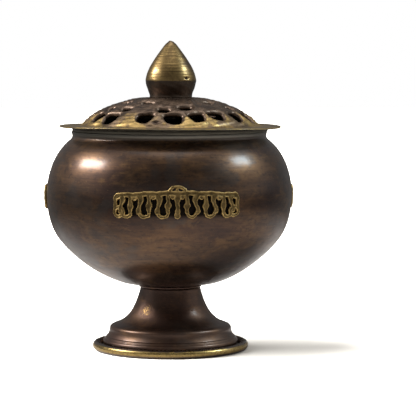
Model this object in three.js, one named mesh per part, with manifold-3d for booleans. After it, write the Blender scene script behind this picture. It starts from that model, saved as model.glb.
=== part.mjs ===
// Footed censer: a spun brass bowl on a flared foot, with a charcoal cup and a pierced lid.
// Millimetres, +Z up. The origin is on the axis, at the surface that the censer stands on.
// The front plaque faces -Y.

import * as THREE from 'three';
import { mergeVertices } from 'three/addons/utils/BufferGeometryUtils.js';
import Module from 'manifold-3d';

const wasm = await Module();
wasm.setup();

// Driving dimensions
const GAP = 0.3;
const TOP_Z = 114;
const BOWL_RADIUS = 45.2;
const BOWL_WIDEST_Z = 57;
const BOWL_BASE_Z = 24.3;
const BOWL_WALL = 1.2;
const NECK_RADIUS = 35.7;
const LIP_Z = 80.6;

const FOOT_TOP_Z = 23.1;
const FOOT_TOP_RADIUS = 11.1;
const FOOT_WALL = 1.3;
const SKIRT_RADIUS = 25;
const SKIRT_BASE_Z = 1.5;

const BEAD_CENTRE_RADIUS = 27.2;
const BEAD_RADIUS = 1.6;
const LEDGE_INNER_RADIUS = 20;
const LEDGE_THICKNESS = 1.2;

const ROUND_SEGMENTS = 40;
const SMALL_ROUND_SEGMENTS = 16;

const BOLT_RADIUS = 2.5;
const BOLT_HOLE_RADIUS = 2.9;
const BOLT_HEAD_RADIUS = 4.4;
const BOLT_HEAD_HEIGHT = 2.6;
const BOLT_END_Z = 15;
const WASHER_RADIUS = 6.5;
const WASHER_THICKNESS = 0.8;
const NUT_ACROSS_CORNERS = 9.2;
const NUT_HEIGHT = 4;

const CUP_FLANGE_RADIUS = 35.9;
const CUP_RADIUS = 34;
const CUP_WALL = 0.9;
const CUP_FLANGE_THICKNESS = 0.65;
const CUP_BASE_Z = 53.5;

const BRIM_RADIUS = 40.9;
const BRIM_THICKNESS = 1;
const DOME_RADIUS = 33.4;
const DOME_WALL = 2.4;
const CROWN_Z = 93.1;
const LOCATOR_RADIUS = 32.5;
const LOCATOR_WALL = 1.1;
const LOCATOR_DEPTH = 5;

const FINIAL_BASE_RADIUS = 7.8;
const FINIAL_RADIUS = 9.33;
const FINIAL_WIDEST_Z = 99.4;
const SCREW_RADIUS = 1.8;
const SCREW_HOLE_RADIUS = 2.2;
const SCREW_END_Z = 99.5;
const SCREW_HEAD_RADIUS = 3.6;
const SCREW_HEAD_HEIGHT = 2;
const SCREW_WASHER_RADIUS = 5.5;

// Rows of lid holes, unevenly spaced as cast: distance of the centres from the axis, width round
// the lid, length down the slope, and each hole's bearing in degrees from the front.
const HOLE_ROWS = [
  {
    radius: 29.3,
    width: 6,
    length: 5.4,
    bearings: [
      -166, -148, -129, -109, -88, -67, -50, -22, -1, 17, 34, 53, 71, 89, 107, 125, 143, 160, 177,
    ],
  },
  {
    radius: 23.7,
    width: 5.2,
    length: 4.2,
    bearings: [-178, -157, -134, -112, -91, -69, -45, -9, 12, 33, 62, 86, 109, 132, 155],
  },
  {
    radius: 17.3,
    width: 5.2,
    length: 3.8,
    bearings: [-175, -141, -104, -68, -32, 46, 80, 113, 149],
  },
];

const PLAQUE_Z = 56.7;
const PLAQUE_HALF_WIDTH = 23.4;
const PLAQUE_HEIGHT = 9.2;
const PLAQUE_ARCH = 0.6;
const PLAQUE_THICKNESS = 0.9;
const PLAQUE_BEND_RADIUS = 46;
const CREST_WIDTH = 7.4;
const CREST_HEIGHT = 1.9;
const WINDOW_COUNT = 12;
const WINDOW_PITCH = (2 * PLAQUE_HALF_WIDTH) / (WINDOW_COUNT + 2);
const WINDOW_WIDTH = 2;
const WINDOW_HEIGHT = 5.8;
const PLAQUES = { plaque_front: -90, plaque_right: 30, plaque_left: 150 };

// Materials
function metal(colour, roughness) {
  return new THREE.MeshStandardMaterial({ color: colour, roughness, metalness: 1 });
}

const finishes = {
  brown: () => metal(0x4a2b20, 0.35),
  darkBrown: () => metal(0x3a2620, 0.45),
  gold: () => metal(0xa8842c, 0.35),
  olive: () => metal(0x8a7434, 0.45),
  rawBrass: () => metal(0xb89a50, 0.4),
  steel: () => metal(0x8c8c8a, 0.4),
};

// Profiles: points are (distance from the axis, height)
function point(radius, height) {
  return new THREE.Vector2(radius, height);
}

function smooth(pairs, divisions) {
  const curve = new THREE.SplineCurve(pairs.map(([radius, height]) => point(radius, height)));
  return curve.getPoints(divisions);
}

function arc(centreRadius, centreHeight, radius, fromDegrees, toDegrees, divisions) {
  const points = [];
  for (let i = 0; i <= divisions; i += 1) {
    const angle = THREE.MathUtils.degToRad(fromDegrees + ((toDegrees - fromDegrees) * i) / divisions);
    points.push(point(centreRadius + radius * Math.cos(angle), centreHeight + radius * Math.sin(angle)));
  }
  return points;
}

// The same line moved sideways: to the left of its direction for a positive distance
function offset(points, distance) {
  return points.map((here, i) => {
    const before = points[Math.max(i - 1, 0)];
    const after = points[Math.min(i + 1, points.length - 1)];
    const along = after.clone().sub(before).normalize();
    return point(here.x - along.y * distance, here.y + along.x * distance);
  });
}

function turned(profile, segments) {
  return new THREE.LatheGeometry(profile, segments).rotateX(Math.PI / 2);
}

// A flat ring or disc between two heights
function ringProfile(inner, outer, bottom, top) {
  return [
    point(inner, bottom),
    point(outer, bottom),
    point(outer, top),
    point(inner, top),
    point(inner, bottom),
  ];
}

// Joining and cutting
function solid(geometry) {
  const bare = geometry.clone();
  bare.deleteAttribute('normal');
  bare.deleteAttribute('uv');
  const merged = mergeVertices(bare, 1e-4);
  return new wasm.Manifold(
    new wasm.Mesh({
      numProp: 3,
      vertProperties: new Float32Array(merged.attributes.position.array),
      triVerts: new Uint32Array(merged.index.array),
    }),
  );
}

function geometryOf(body) {
  const mesh = body.getMesh();
  const geometry = new THREE.BufferGeometry();
  geometry.setAttribute('position', new THREE.BufferAttribute(mesh.vertProperties, 3));
  geometry.setIndex(new THREE.BufferAttribute(mesh.triVerts, 1));
  return geometry;
}

// Bowl
const bowlOuter = [
  point(BOLT_HOLE_RADIUS, BOWL_BASE_Z),
  ...smooth(
    [
      [14.1, BOWL_BASE_Z],
      [23.2, 27.2],
      [32.4, 33.1],
      [40, 40.5],
      [44, 48.5],
      [BOWL_RADIUS, BOWL_WIDEST_Z],
      [44.4, 64.8],
      [42, 71],
      [38.4, 76.1],
      [NECK_RADIUS + 0.3, 78.5],
      [NECK_RADIUS, 79.5],
      [NECK_RADIUS + 0.3, LIP_Z],
    ],
    13,
  ),
];

// The bowl's outer radius at a height above its base
function bowlRadius(height) {
  const above = bowlOuter.findIndex((p) => p.y > height);
  const low = bowlOuter[above - 1];
  const high = bowlOuter[above];
  return THREE.MathUtils.mapLinear(height, low.y, high.y, low.x, high.x);
}

function makeBowl() {
  const inside = offset(bowlOuter, BOWL_WALL);
  inside[0].x = BOLT_HOLE_RADIUS;
  inside[inside.length - 1].y = LIP_Z;
  return turned([...bowlOuter, ...inside.reverse(), bowlOuter[0]], ROUND_SEGMENTS);
}

// Foot and base
function makeFoot() {
  const sides = [
    [SKIRT_RADIUS - 0.7, SKIRT_BASE_Z],
    [SKIRT_RADIUS, 3.1],
    [SKIRT_RADIUS - 0.9, 4.7],
    [SKIRT_RADIUS - 1.9, 5.6],
    [SKIRT_RADIUS - 2.45, 7.7],
    [21.9, 9.1],
    [18.8, 10.4],
    [15, 13.6],
    [12, 19.7],
    [FOOT_TOP_RADIUS, FOOT_TOP_Z],
  ];
  const skirt = smooth(sides, 15);
  const inside = offset(smooth(sides, 8), FOOT_WALL);
  const underTop = FOOT_TOP_Z - FOOT_WALL;
  inside[inside.length - 1].set(FOOT_TOP_RADIUS - FOOT_WALL, underTop);
  const profile = [
    ...skirt,
    point(BOLT_HOLE_RADIUS, FOOT_TOP_Z),
    point(BOLT_HOLE_RADIUS, underTop),
    ...inside.reverse(),
    skirt[0],
  ];
  return turned(profile, ROUND_SEGMENTS);
}

function makeBaseRing() {
  const bead = arc(BEAD_CENTRE_RADIUS, BEAD_RADIUS, BEAD_RADIUS, -90, 194.5, 8);
  const profile = [
    point(LEDGE_INNER_RADIUS, 0),
    ...bead,
    point(LEDGE_INNER_RADIUS, LEDGE_THICKNESS),
    point(LEDGE_INNER_RADIUS, 0),
  ];
  return turned(profile, ROUND_SEGMENTS);
}

function makeJointCollar() {
  const bottom = FOOT_TOP_Z + GAP;
  return turned(ringProfile(BOLT_HOLE_RADIUS, FOOT_TOP_RADIUS + 0.2, bottom, BOWL_BASE_Z - GAP), 24);
}

// Bolt through bowl, collar and foot
const bowlFloorZ = BOWL_BASE_Z + BOWL_WALL;
const bowlWasherZ = bowlFloorZ + GAP;
const boltHeadZ = bowlWasherZ + WASHER_THICKNESS + GAP;
const footWasherZ = FOOT_TOP_Z - FOOT_WALL - GAP - WASHER_THICKNESS;
const nutZ = footWasherZ - GAP - NUT_HEIGHT;

function makeCentreBolt() {
  const crown = 0.8;
  const profile = [
    point(0, BOLT_END_Z),
    point(BOLT_RADIUS, BOLT_END_Z),
    point(BOLT_RADIUS, boltHeadZ),
    point(BOLT_HEAD_RADIUS, boltHeadZ),
    point(BOLT_HEAD_RADIUS, boltHeadZ + BOLT_HEAD_HEIGHT - crown),
    point(BOLT_HEAD_RADIUS - crown, boltHeadZ + BOLT_HEAD_HEIGHT),
    point(0, boltHeadZ + BOLT_HEAD_HEIGHT),
  ];
  const slot = new THREE.BoxGeometry(3 * BOLT_HEAD_RADIUS, 1, 2);
  slot.translate(0, 0, boltHeadZ + BOLT_HEAD_HEIGHT);
  return geometryOf(solid(turned(profile, SMALL_ROUND_SEGMENTS)).subtract(solid(slot)));
}

function makeWasher(bottom, hole, radius) {
  return turned(ringProfile(hole, radius, bottom, bottom + WASHER_THICKNESS), SMALL_ROUND_SEGMENTS);
}

function makeCentreNut() {
  const blank = turned(
    [
      point(0, nutZ),
      point(NUT_ACROSS_CORNERS / 2, nutZ),
      point(NUT_ACROSS_CORNERS / 2, nutZ + NUT_HEIGHT),
      point(0, nutZ + NUT_HEIGHT),
    ],
    6,
  );
  const radius = BOLT_HOLE_RADIUS;
  const bore = new THREE.CylinderGeometry(radius, radius, 4 * NUT_HEIGHT, SMALL_ROUND_SEGMENTS);
  bore.rotateX(Math.PI / 2).translate(0, 0, nutZ);
  return geometryOf(solid(blank).subtract(solid(bore)));
}

// Charcoal cup, hung by its flange on the bowl's lip
const cupFlangeZ = LIP_Z + GAP;
const cupTopZ = cupFlangeZ + CUP_FLANGE_THICKNESS;

function makeCharcoalCup() {
  const side = [
    point(CUP_RADIUS, cupFlangeZ),
    ...arc(CUP_RADIUS - 14, 67.5, 14, 0, -90, 4),
    point(0, CUP_BASE_Z),
  ];
  const inside = offset(side, -CUP_WALL);
  inside[0].y = cupTopZ;
  inside[inside.length - 1].x = 0;
  const profile = [
    ...side.reverse(),
    point(CUP_FLANGE_RADIUS, cupFlangeZ),
    point(CUP_FLANGE_RADIUS, cupTopZ),
    ...inside,
  ];
  return turned(profile, ROUND_SEGMENTS);
}

// Lid
const brimZ = cupTopZ + GAP;
const domeOuter = [
  point(SCREW_HOLE_RADIUS, CROWN_Z),
  ...smooth(
    [
      [FINIAL_BASE_RADIUS, CROWN_Z],
      [16.7, 92.1],
      [22.3, 90.4],
      [26.4, 88.4],
      [30, 86.2],
      [DOME_RADIUS - 1.4, 84],
      [DOME_RADIUS, brimZ + BRIM_THICKNESS],
    ],
    7,
  ),
];

// Where a hole's centre lies on the dome, and how far the surface slopes there
function domeSurface(radius) {
  const beyond = domeOuter.findIndex((p) => p.x > radius);
  const near = domeOuter[beyond - 1];
  const far = domeOuter[beyond];
  const height = THREE.MathUtils.mapLinear(radius, near.x, far.x, near.y, far.y);
  return { height, slope: Math.atan2(near.y - far.y, far.x - near.x) };
}

function makeHoleCutter(row, bearing) {
  const { height, slope } = domeSurface(row.radius);
  const cutter = new THREE.CylinderGeometry(0.53, 0.53, 4 * DOME_WALL, 6);
  cutter.rotateX(Math.PI / 2);
  cutter.scale(row.length, row.width, 1);
  cutter.rotateY(slope).translate(row.radius, 0, height);
  cutter.rotateZ(THREE.MathUtils.degToRad(bearing - 90));
  return cutter;
}

function makePiercedCover() {
  const inside = offset(domeOuter, -DOME_WALL);
  inside[inside.length - 1].set(DOME_RADIUS - 1.3 * DOME_WALL, brimZ);
  const profile = [
    ...domeOuter,
    point(BRIM_RADIUS - 0.3, brimZ + BRIM_THICKNESS),
    point(BRIM_RADIUS, brimZ + BRIM_THICKNESS / 2),
    point(BRIM_RADIUS - 0.3, brimZ),
    ...inside.reverse(),
    domeOuter[0],
  ];
  let cover = solid(turned(profile.reverse(), ROUND_SEGMENTS));
  for (const row of HOLE_ROWS) {
    for (const bearing of row.bearings) {
      cover = cover.subtract(solid(makeHoleCutter(row, bearing)));
    }
  }
  return geometryOf(cover);
}

function makeLocatingRing() {
  const top = brimZ - GAP;
  const inner = LOCATOR_RADIUS - LOCATOR_WALL;
  return turned(ringProfile(inner, LOCATOR_RADIUS, top - LOCATOR_DEPTH, top), ROUND_SEGMENTS);
}

// Finial and its screw
const finialBaseZ = CROWN_Z + GAP;
const screwWasherZ = CROWN_Z - DOME_WALL - GAP - WASHER_THICKNESS;
const screwHeadZ = screwWasherZ - GAP - SCREW_HEAD_HEIGHT;

function makeFinial() {
  const side = smooth(
    [
      [FINIAL_BASE_RADIUS, finialBaseZ],
      [8.4, 95.8],
      [FINIAL_RADIUS, FINIAL_WIDEST_Z],
      [8.3, 103.2],
      [5.75, 107.6],
      [2.6, 112],
      [0, TOP_Z],
    ],
    12,
  );
  const boreTop = SCREW_END_Z + GAP;
  const profile = [
    point(0, boreTop),
    point(SCREW_HOLE_RADIUS, boreTop),
    point(SCREW_HOLE_RADIUS, finialBaseZ),
    ...side,
  ];
  return turned(profile, 32);
}

function makeFinialScrew() {
  const profile = [
    point(0, screwHeadZ),
    point(SCREW_HEAD_RADIUS, screwHeadZ),
    point(SCREW_HEAD_RADIUS, screwHeadZ + SCREW_HEAD_HEIGHT),
    point(SCREW_RADIUS, screwHeadZ + SCREW_HEAD_HEIGHT),
    point(SCREW_RADIUS, SCREW_END_Z),
    point(0, SCREW_END_Z),
  ];
  const slot = new THREE.BoxGeometry(3 * SCREW_HEAD_RADIUS, 0.9, 1.6);
  slot.translate(0, 0, screwHeadZ);
  return geometryOf(solid(turned(profile, SMALL_ROUND_SEGMENTS)).subtract(solid(slot)));
}

// Plaques: an arched panel with a crest and a row of arched windows, bent round the bowl
function bend(geometry) {
  const position = geometry.attributes.position;
  for (let i = 0; i < position.count; i += 1) {
    const angle = position.getX(i) / PLAQUE_BEND_RADIUS;
    const height = PLAQUE_Z + position.getY(i);
    const radius = bowlRadius(height) + position.getZ(i);
    position.setXYZ(i, radius * Math.cos(angle), radius * Math.sin(angle), height);
  }
  return geometry;
}

function makePanel() {
  const width = 2 * PLAQUE_HALF_WIDTH;
  const panel = new THREE.BoxGeometry(width, PLAQUE_HEIGHT, PLAQUE_THICKNESS, WINDOW_COUNT + 2, 2, 1);
  panel.translate(0, 0, GAP + PLAQUE_THICKNESS / 2);
  const position = panel.attributes.position;
  for (let i = 0; i < position.count; i += 1) {
    const arch = PLAQUE_ARCH * Math.cos((Math.PI * position.getX(i)) / (2 * PLAQUE_HALF_WIDTH));
    const share = position.getY(i) / PLAQUE_HEIGHT + 0.5;
    position.setY(i, position.getY(i) + share * arch);
  }
  return solid(bend(panel));
}

function makeCrest() {
  const crest = new THREE.BoxGeometry(CREST_WIDTH, 2 * CREST_HEIGHT, PLAQUE_THICKNESS, 4, 2, 1);
  crest.translate(0, PLAQUE_HEIGHT / 2 + PLAQUE_ARCH, GAP + PLAQUE_THICKNESS / 2);
  const position = crest.attributes.position;
  const shoulder = PLAQUE_HEIGHT / 2 + PLAQUE_ARCH;
  for (let i = 0; i < position.count; i += 1) {
    const rise = Math.max(position.getY(i) - shoulder, 0) / CREST_HEIGHT;
    position.setX(i, position.getX(i) * (1 - 0.55 * rise));
  }
  return solid(bend(crest));
}

function makeWindowCutter(index) {
  const half = WINDOW_WIDTH / 2;
  const low = -WINDOW_HEIGHT / 2;
  const shoulder = WINDOW_HEIGHT / 2 - WINDOW_WIDTH;
  const outline = new THREE.Shape([
    point(-half, low),
    point(half, low),
    point(half, shoulder),
    point(0, WINDOW_HEIGHT / 2),
    point(-half, shoulder),
  ]);
  const cutter = new THREE.ExtrudeGeometry(outline, { depth: 10, bevelEnabled: false });
  cutter.rotateX(Math.PI / 2).rotateZ(Math.PI / 2);
  cutter.translate(BOWL_RADIUS - 5, 0, PLAQUE_Z - 0.3);
  return cutter.rotateZ(((index - (WINDOW_COUNT - 1) / 2) * WINDOW_PITCH) / PLAQUE_BEND_RADIUS);
}

function makePlaque() {
  let plaque = makePanel().add(makeCrest());
  for (let i = 0; i < WINDOW_COUNT; i += 1) {
    plaque = plaque.subtract(solid(makeWindowCutter(i)));
  }
  return geometryOf(plaque);
}

// Assembly
function part(name, geometry, material) {
  const mesh = new THREE.Mesh(geometry, material);
  mesh.name = name;
  return mesh;
}

const vessel = new THREE.Group();
vessel.add(
  part('bowl', makeBowl(), finishes.brown()),
  part('foot', makeFoot(), finishes.brown()),
  part('base_ring', makeBaseRing(), finishes.gold()),
  part('joint_collar', makeJointCollar(), finishes.darkBrown()),
  part('centre_bolt', makeCentreBolt(), finishes.steel()),
  part('bowl_washer', makeWasher(bowlWasherZ, BOLT_HOLE_RADIUS, WASHER_RADIUS), finishes.steel()),
  part('foot_washer', makeWasher(footWasherZ, BOLT_HOLE_RADIUS, WASHER_RADIUS), finishes.steel()),
  part('centre_nut', makeCentreNut(), finishes.steel()),
);

for (const [name, bearing] of Object.entries(PLAQUES)) {
  const plaque = part(name, makePlaque(), finishes.olive());
  plaque.rotation.z = THREE.MathUtils.degToRad(bearing);
  vessel.add(plaque);
}

const liner = part('charcoal_cup', makeCharcoalCup(), finishes.rawBrass());

const cover = new THREE.Group();
cover.add(
  part('pierced_cover', makePiercedCover(), finishes.darkBrown()),
  part('locating_ring', makeLocatingRing(), finishes.rawBrass()),
  part('finial', makeFinial(), finishes.gold()),
  part('finial_screw', makeFinialScrew(), finishes.steel()),
  part('finial_washer', makeWasher(screwWasherZ, SCREW_HOLE_RADIUS, SCREW_WASHER_RADIUS), finishes.steel()),
);

const censer = new THREE.Group();
censer.add(vessel, liner, cover);

export default censer;
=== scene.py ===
"""Footed censer, for Blender 4.5: the fine surfaces, materials, lights and camera.

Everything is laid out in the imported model's frame: metres, +Z up, the front plaque facing -Y.
Outlines are given in millimetres, as (distance from the axis, height), and scaled once, in mesh_object().
"""
import math

import bpy
import numpy as np
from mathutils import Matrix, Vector


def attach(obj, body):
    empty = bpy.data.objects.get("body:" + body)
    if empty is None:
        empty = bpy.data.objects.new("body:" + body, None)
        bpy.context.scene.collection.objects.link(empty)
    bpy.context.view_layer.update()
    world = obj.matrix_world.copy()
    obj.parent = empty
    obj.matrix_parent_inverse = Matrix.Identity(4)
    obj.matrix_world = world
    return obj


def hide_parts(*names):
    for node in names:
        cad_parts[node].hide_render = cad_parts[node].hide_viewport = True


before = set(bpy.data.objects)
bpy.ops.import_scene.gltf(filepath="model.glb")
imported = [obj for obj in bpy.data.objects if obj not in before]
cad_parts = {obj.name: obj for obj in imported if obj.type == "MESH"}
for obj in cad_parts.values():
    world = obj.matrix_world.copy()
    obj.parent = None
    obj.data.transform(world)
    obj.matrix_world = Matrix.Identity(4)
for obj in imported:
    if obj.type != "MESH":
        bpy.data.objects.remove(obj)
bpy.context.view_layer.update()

MM = 0.001

# ---------------------------------------------------------------- driving dimensions (mm)

GAP = 0.3
TOP_Z = 114
BOWL_RADIUS = 45.2
BOWL_BASE_Z = 24.3
BOWL_WALL = 1.2
LIP_Z = 80.6
LIP_ROUNDING = 0.25
NECK_RADIUS = 35.7
BOWL_SHIFT = 0.3
FOOT_TOP_Z = 23.1
FOOT_TOP_RADIUS = 11.1
FOOT_WALL = 1.1
FOOT_TOP_WALL = 1.2
BOLT_RADIUS = 2.5
BOLT_HOLE_RADIUS = 2.9
BOLT_HEAD_RADIUS = 4.4
BOLT_END_Z = 15
BOLT_SEAT_Z = 26.9
BOWL_WASHER_Z = 25.8
FOOT_WASHER_Z = 20.7
WASHER_RADIUS = 6.5
WASHER_THICKNESS = 0.8
NUT_RADIUS = 4.6
NUT_HEIGHT = 4
NUT_Z = 16.4
BEAD_CENTRE_RADIUS = 27.2
BEAD_RADIUS = 1.6
LEDGE_INNER_RADIUS = 20
LEDGE_THICKNESS = 1.2
BRIM_RADIUS = 40.9
BRIM_Z = 81.85
CROWN_Z = 93.1
LID_THICKNESS = 2.6
SCREW_RADIUS = 1.8
SCREW_HOLE_RADIUS = 2.2
SCREW_HEAD_RADIUS = 3.6
SCREW_END_Z = 99.5
SCREW_SEAT_Z = 89.3
SCREW_WASHER_Z = 89.6
SCREW_WASHER_RADIUS = 5.5
FINIAL_BASE_Z = 93.4
FINIAL_RADIUS = 9.33
FINIAL_WIDEST_Z = 99.4
FINIAL_SHIFT = 0.28
PIT_BEARING = 40
PIT_Z = 100.25

PLAQUE_Z = 56.7
PLAQUE_HALF_WIDTH = 23.4
PLAQUE_BEND_RADIUS = 46
PLAQUE_BEARINGS = {"plaque_front": -90, "plaque_right": 30, "plaque_left": 150}

# Where the camera stands: its bearing round the axis, distance, height and aim
CAMERA_BEARING = math.radians(-93.2)
CAMERA_DISTANCE = 770
CAMERA_HEIGHT = 112
AIM_RIGHT = 13.95
AIM_HEIGHT = 52.3
CAMERA_LENS = 180.8
SENSOR = 36

# The room as the metal mirrors it, by direction, and as it lights the floor
FRONT_LEVEL = 0.3
FRONT_UPPER_LEVEL = 0.11
SIDE_LEVEL = 0.36
BACK_LEVEL = 0.16
OVERHEAD_LEVEL = 1.9
ROOM_LEVEL = 0.74
# The sun's strength, its spread in degrees, and where it shines from: its bearing from the camera's
# side, distance and height
SUN_LEVEL = 14.8
SUN_SPREAD = 66
SUN_FROM = (-88, 500, 440)
# The paper floor: half its side, and its colour as seen and as mirrored, which fades between two
# distances from its brightest spot, given like the sun's place. Sizes and distances are in metres.
PAPER_HALF = 3.0
PAPER_SEEN = (0.87, 0.84, 0.78)
PAPER_NEAR = (0.24, 0.228, 0.217)
PAPER_FAR = (0.036, 0.0345, 0.033)
PAPER_SPOT = (70, 45, 0)
PAPER_FROM = 0.06
PAPER_TO = 0.32

# Brown patina on sheet brass
DARK_BROWN = (0.062, 0.032, 0.024)
COPPERY_BROWN = (0.155, 0.082, 0.04)
STREAK_BROWN = (0.042, 0.027, 0.023)
GOLDEN_BROWN = (0.2, 0.108, 0.047)
MOTTLE_BROWN = (0.03, 0.02, 0.018)
BRUSHED_BROWN = (0.02, 0.014, 0.012)
FLECK_GOLD = (0.24, 0.14, 0.06)
COOL_BROWN = (0.068, 0.056, 0.05)
# A lighter brown painted over the foot, as painted light where it mirrors the dark front
FOOT_LIGHTENING_BROWN = (0.22, 0.135, 0.1)
RUBBED_GOLD = (0.42, 0.26, 0.1)
NECK_GREY = (0.17, 0.158, 0.13)
# Painted shade for the bowl's skin in the gaps behind the plaques
GAP_SHADE_BLACK = (0.014, 0.011, 0.009)
# The lid
LID_DARK = (0.12, 0.08, 0.058)
LID_BROWN = (0.215, 0.145, 0.1)
LID_GOLD = (0.52, 0.35, 0.13)
BRIM_BROWN = (0.24, 0.18, 0.11)
BRIM_GOLD = (0.36, 0.26, 0.12)
EDGE_GOLD = (0.4, 0.28, 0.11)
PORE_BLACK = (0.02, 0.015, 0.011)
UNDERSIDE_GREY = (0.17, 0.155, 0.12)
SOOT_BLACK = (0.012, 0.01, 0.008)
# The finial and the base ring
AGED_GOLD = (0.36, 0.24, 0.094)
AGED_DULL = (0.2, 0.13, 0.052)
LATHE_DARK = (0.12, 0.08, 0.034)
SPECK_DARK = (0.12, 0.08, 0.035)
RING_GOLD = (0.5, 0.35, 0.125)
RING_DULL = (0.3, 0.2, 0.075)
FINIAL_BROWN = (0.11, 0.08, 0.06)
RING_BROWN = (0.2, 0.15, 0.12)
# The plaques, the charcoal cup and the fasteners
OLIVE_DARK = (0.14, 0.094, 0.036)
OLIVE_LIGHT = (0.27, 0.183, 0.07)
OLIVE_SPECK = (0.04, 0.03, 0.016)
OLIVE_RUBBED = (0.66, 0.455, 0.18)
SPUN_BRASS = (0.46, 0.33, 0.14)
SOOTY_BRASS = (0.2, 0.145, 0.08)
STEEL_LIGHT = (0.42, 0.42, 0.41)
STEEL_DARK = (0.26, 0.24, 0.22)


# ---------------------------------------------------------------- outlines


def catmull(points, step):
    """A smooth line through the points, sampled about every step, as an array."""
    pts = np.array(points, float)
    pts = np.vstack([2 * pts[0] - pts[1], pts, 2 * pts[-1] - pts[-2]])
    out = []
    for p0, p1, p2, p3 in zip(pts, pts[1:], pts[2:], pts[3:]):
        t0 = 0.0
        t1 = t0 + np.linalg.norm(p1 - p0) ** 0.5
        t2 = t1 + np.linalg.norm(p2 - p1) ** 0.5
        t3 = t2 + np.linalg.norm(p3 - p2) ** 0.5
        count = max(2, int(np.linalg.norm(p2 - p1) / step))
        for t in np.linspace(t1, t2, count, endpoint=False):
            a1 = (t1 - t) / (t1 - t0) * p0 + (t - t0) / (t1 - t0) * p1
            a2 = (t2 - t) / (t2 - t1) * p1 + (t - t1) / (t2 - t1) * p2
            a3 = (t3 - t) / (t3 - t2) * p2 + (t - t2) / (t3 - t2) * p3
            b1 = (t2 - t) / (t2 - t0) * a1 + (t - t0) / (t2 - t0) * a2
            b2 = (t3 - t) / (t3 - t1) * a2 + (t - t1) / (t3 - t1) * a3
            out.append((t2 - t) / (t2 - t1) * b1 + (t - t1) / (t2 - t1) * b2)
    out.append(pts[-2])
    return np.array(out)


def normals(line):
    """Unit vectors to the left of the line's direction."""
    along = np.gradient(line, axis=0)
    along /= np.linalg.norm(along, axis=1)[:, None]
    return np.stack([-along[:, 1], along[:, 0]], axis=1)


def arc(centre, radius, start, end, count):
    """Points on an arc, angles in degrees."""
    a = np.radians(np.linspace(start, end, count))
    return np.stack([centre[0] + radius * np.cos(a), centre[1] + radius * np.sin(a)], axis=1)


def offset(line, distance):
    return line + normals(line) * distance


def rounded(corners, radius, count=4):
    """A closed outline through the corners, each one rounded off."""
    pts = np.array(corners, float)
    out = []
    for before, here, after in zip(np.roll(pts, 1, 0), pts, np.roll(pts, -1, 0)):
        cut = min(radius, 0.45 * np.linalg.norm(before - here), 0.45 * np.linalg.norm(after - here))
        start = here + (before - here) / np.linalg.norm(before - here) * cut
        end = here + (after - here) / np.linalg.norm(after - here) * cut
        for t in np.linspace(0, 1, count):
            out.append((1 - t) ** 2 * start + 2 * t * (1 - t) * here + t**2 * end)
    return np.array(out)


def smoothstep(low, high, x):
    t = np.clip((x - low) / (high - low), 0, 1)
    return t * t * (3 - 2 * t)


# ---------------------------------------------------------------- meshes


def signed_volume(verts, faces):
    total = 0.0
    for size in {len(f) for f in faces}:
        group = np.array([f for f in faces if len(f) == size])
        corner = verts[group]
        for k in range(1, size - 1):
            total += np.einsum("ij,ij->", corner[:, 0], np.cross(corner[:, k], corner[:, k + 1]))
    return total


def mesh_object(name, verts, faces, attributes=None):
    """A closed smooth mesh from millimetres, its faces turned outwards."""
    verts = np.asarray(verts, float)
    if signed_volume(verts, faces) < 0:
        faces = [tuple(reversed(f)) for f in faces]
    mesh = bpy.data.meshes.new(name)
    mesh.from_pydata((verts * MM).tolist(), [], faces)
    for label, values in (attributes or {}).items():
        layer = mesh.attributes.new(label, "FLOAT", "POINT")
        layer.data.foreach_set("value", np.asarray(values, np.float32))
    mesh.update()
    mesh.shade_smooth()
    obj = bpy.data.objects.new(name, mesh)
    bpy.context.scene.collection.objects.link(obj)
    return obj


def turned(name, outline, segments, shape=None, marks=None):
    """The outline turned round the axis. It is closed, or it starts and ends on the axis.
    shape(angle, radius, height) may move the points, for what isn't perfectly round. marks are
    attributes by name, each a function of angle, radius and height."""
    outline = np.asarray(outline, float)
    angle = np.linspace(0, 2 * math.pi, segments, endpoint=False)[:, None]
    radius = np.repeat(outline[None, :, 0], segments, 0)
    height = np.repeat(outline[None, :, 1], segments, 0)
    on_axis = outline[:, 0] < 1e-6
    if shape:
        radius, height = shape(angle, radius, height)
    layers = {label: rule(angle, radius, height) for label, rule in (marks or {}).items()}
    grid = np.stack([radius * np.cos(angle), radius * np.sin(angle), height], axis=2)
    count = len(outline)
    index = np.arange(segments * count).reshape(segments, count)
    index[:, on_axis] = index[0, on_axis]
    open_ended = on_axis[0] and on_axis[-1]
    faces = []
    for i in range(segments):
        here, there = index[i], index[(i + 1) % segments]
        for j in range(count - 1 if open_ended else count):
            k = (j + 1) % count
            loop = (here[j], there[j], there[k], here[k])
            faces.append(tuple(dict.fromkeys(int(v) for v in loop)))
    used = np.unique(np.concatenate([np.array(f) for f in faces]))
    renumber = np.zeros(segments * count, int)
    renumber[used] = np.arange(len(used))
    faces = [tuple(int(v) for v in renumber[list(f)]) for f in faces]
    layers = {label: values.reshape(-1)[used] for label, values in layers.items()}
    return mesh_object(name, grid.reshape(-1, 3)[used], faces, layers)


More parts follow.
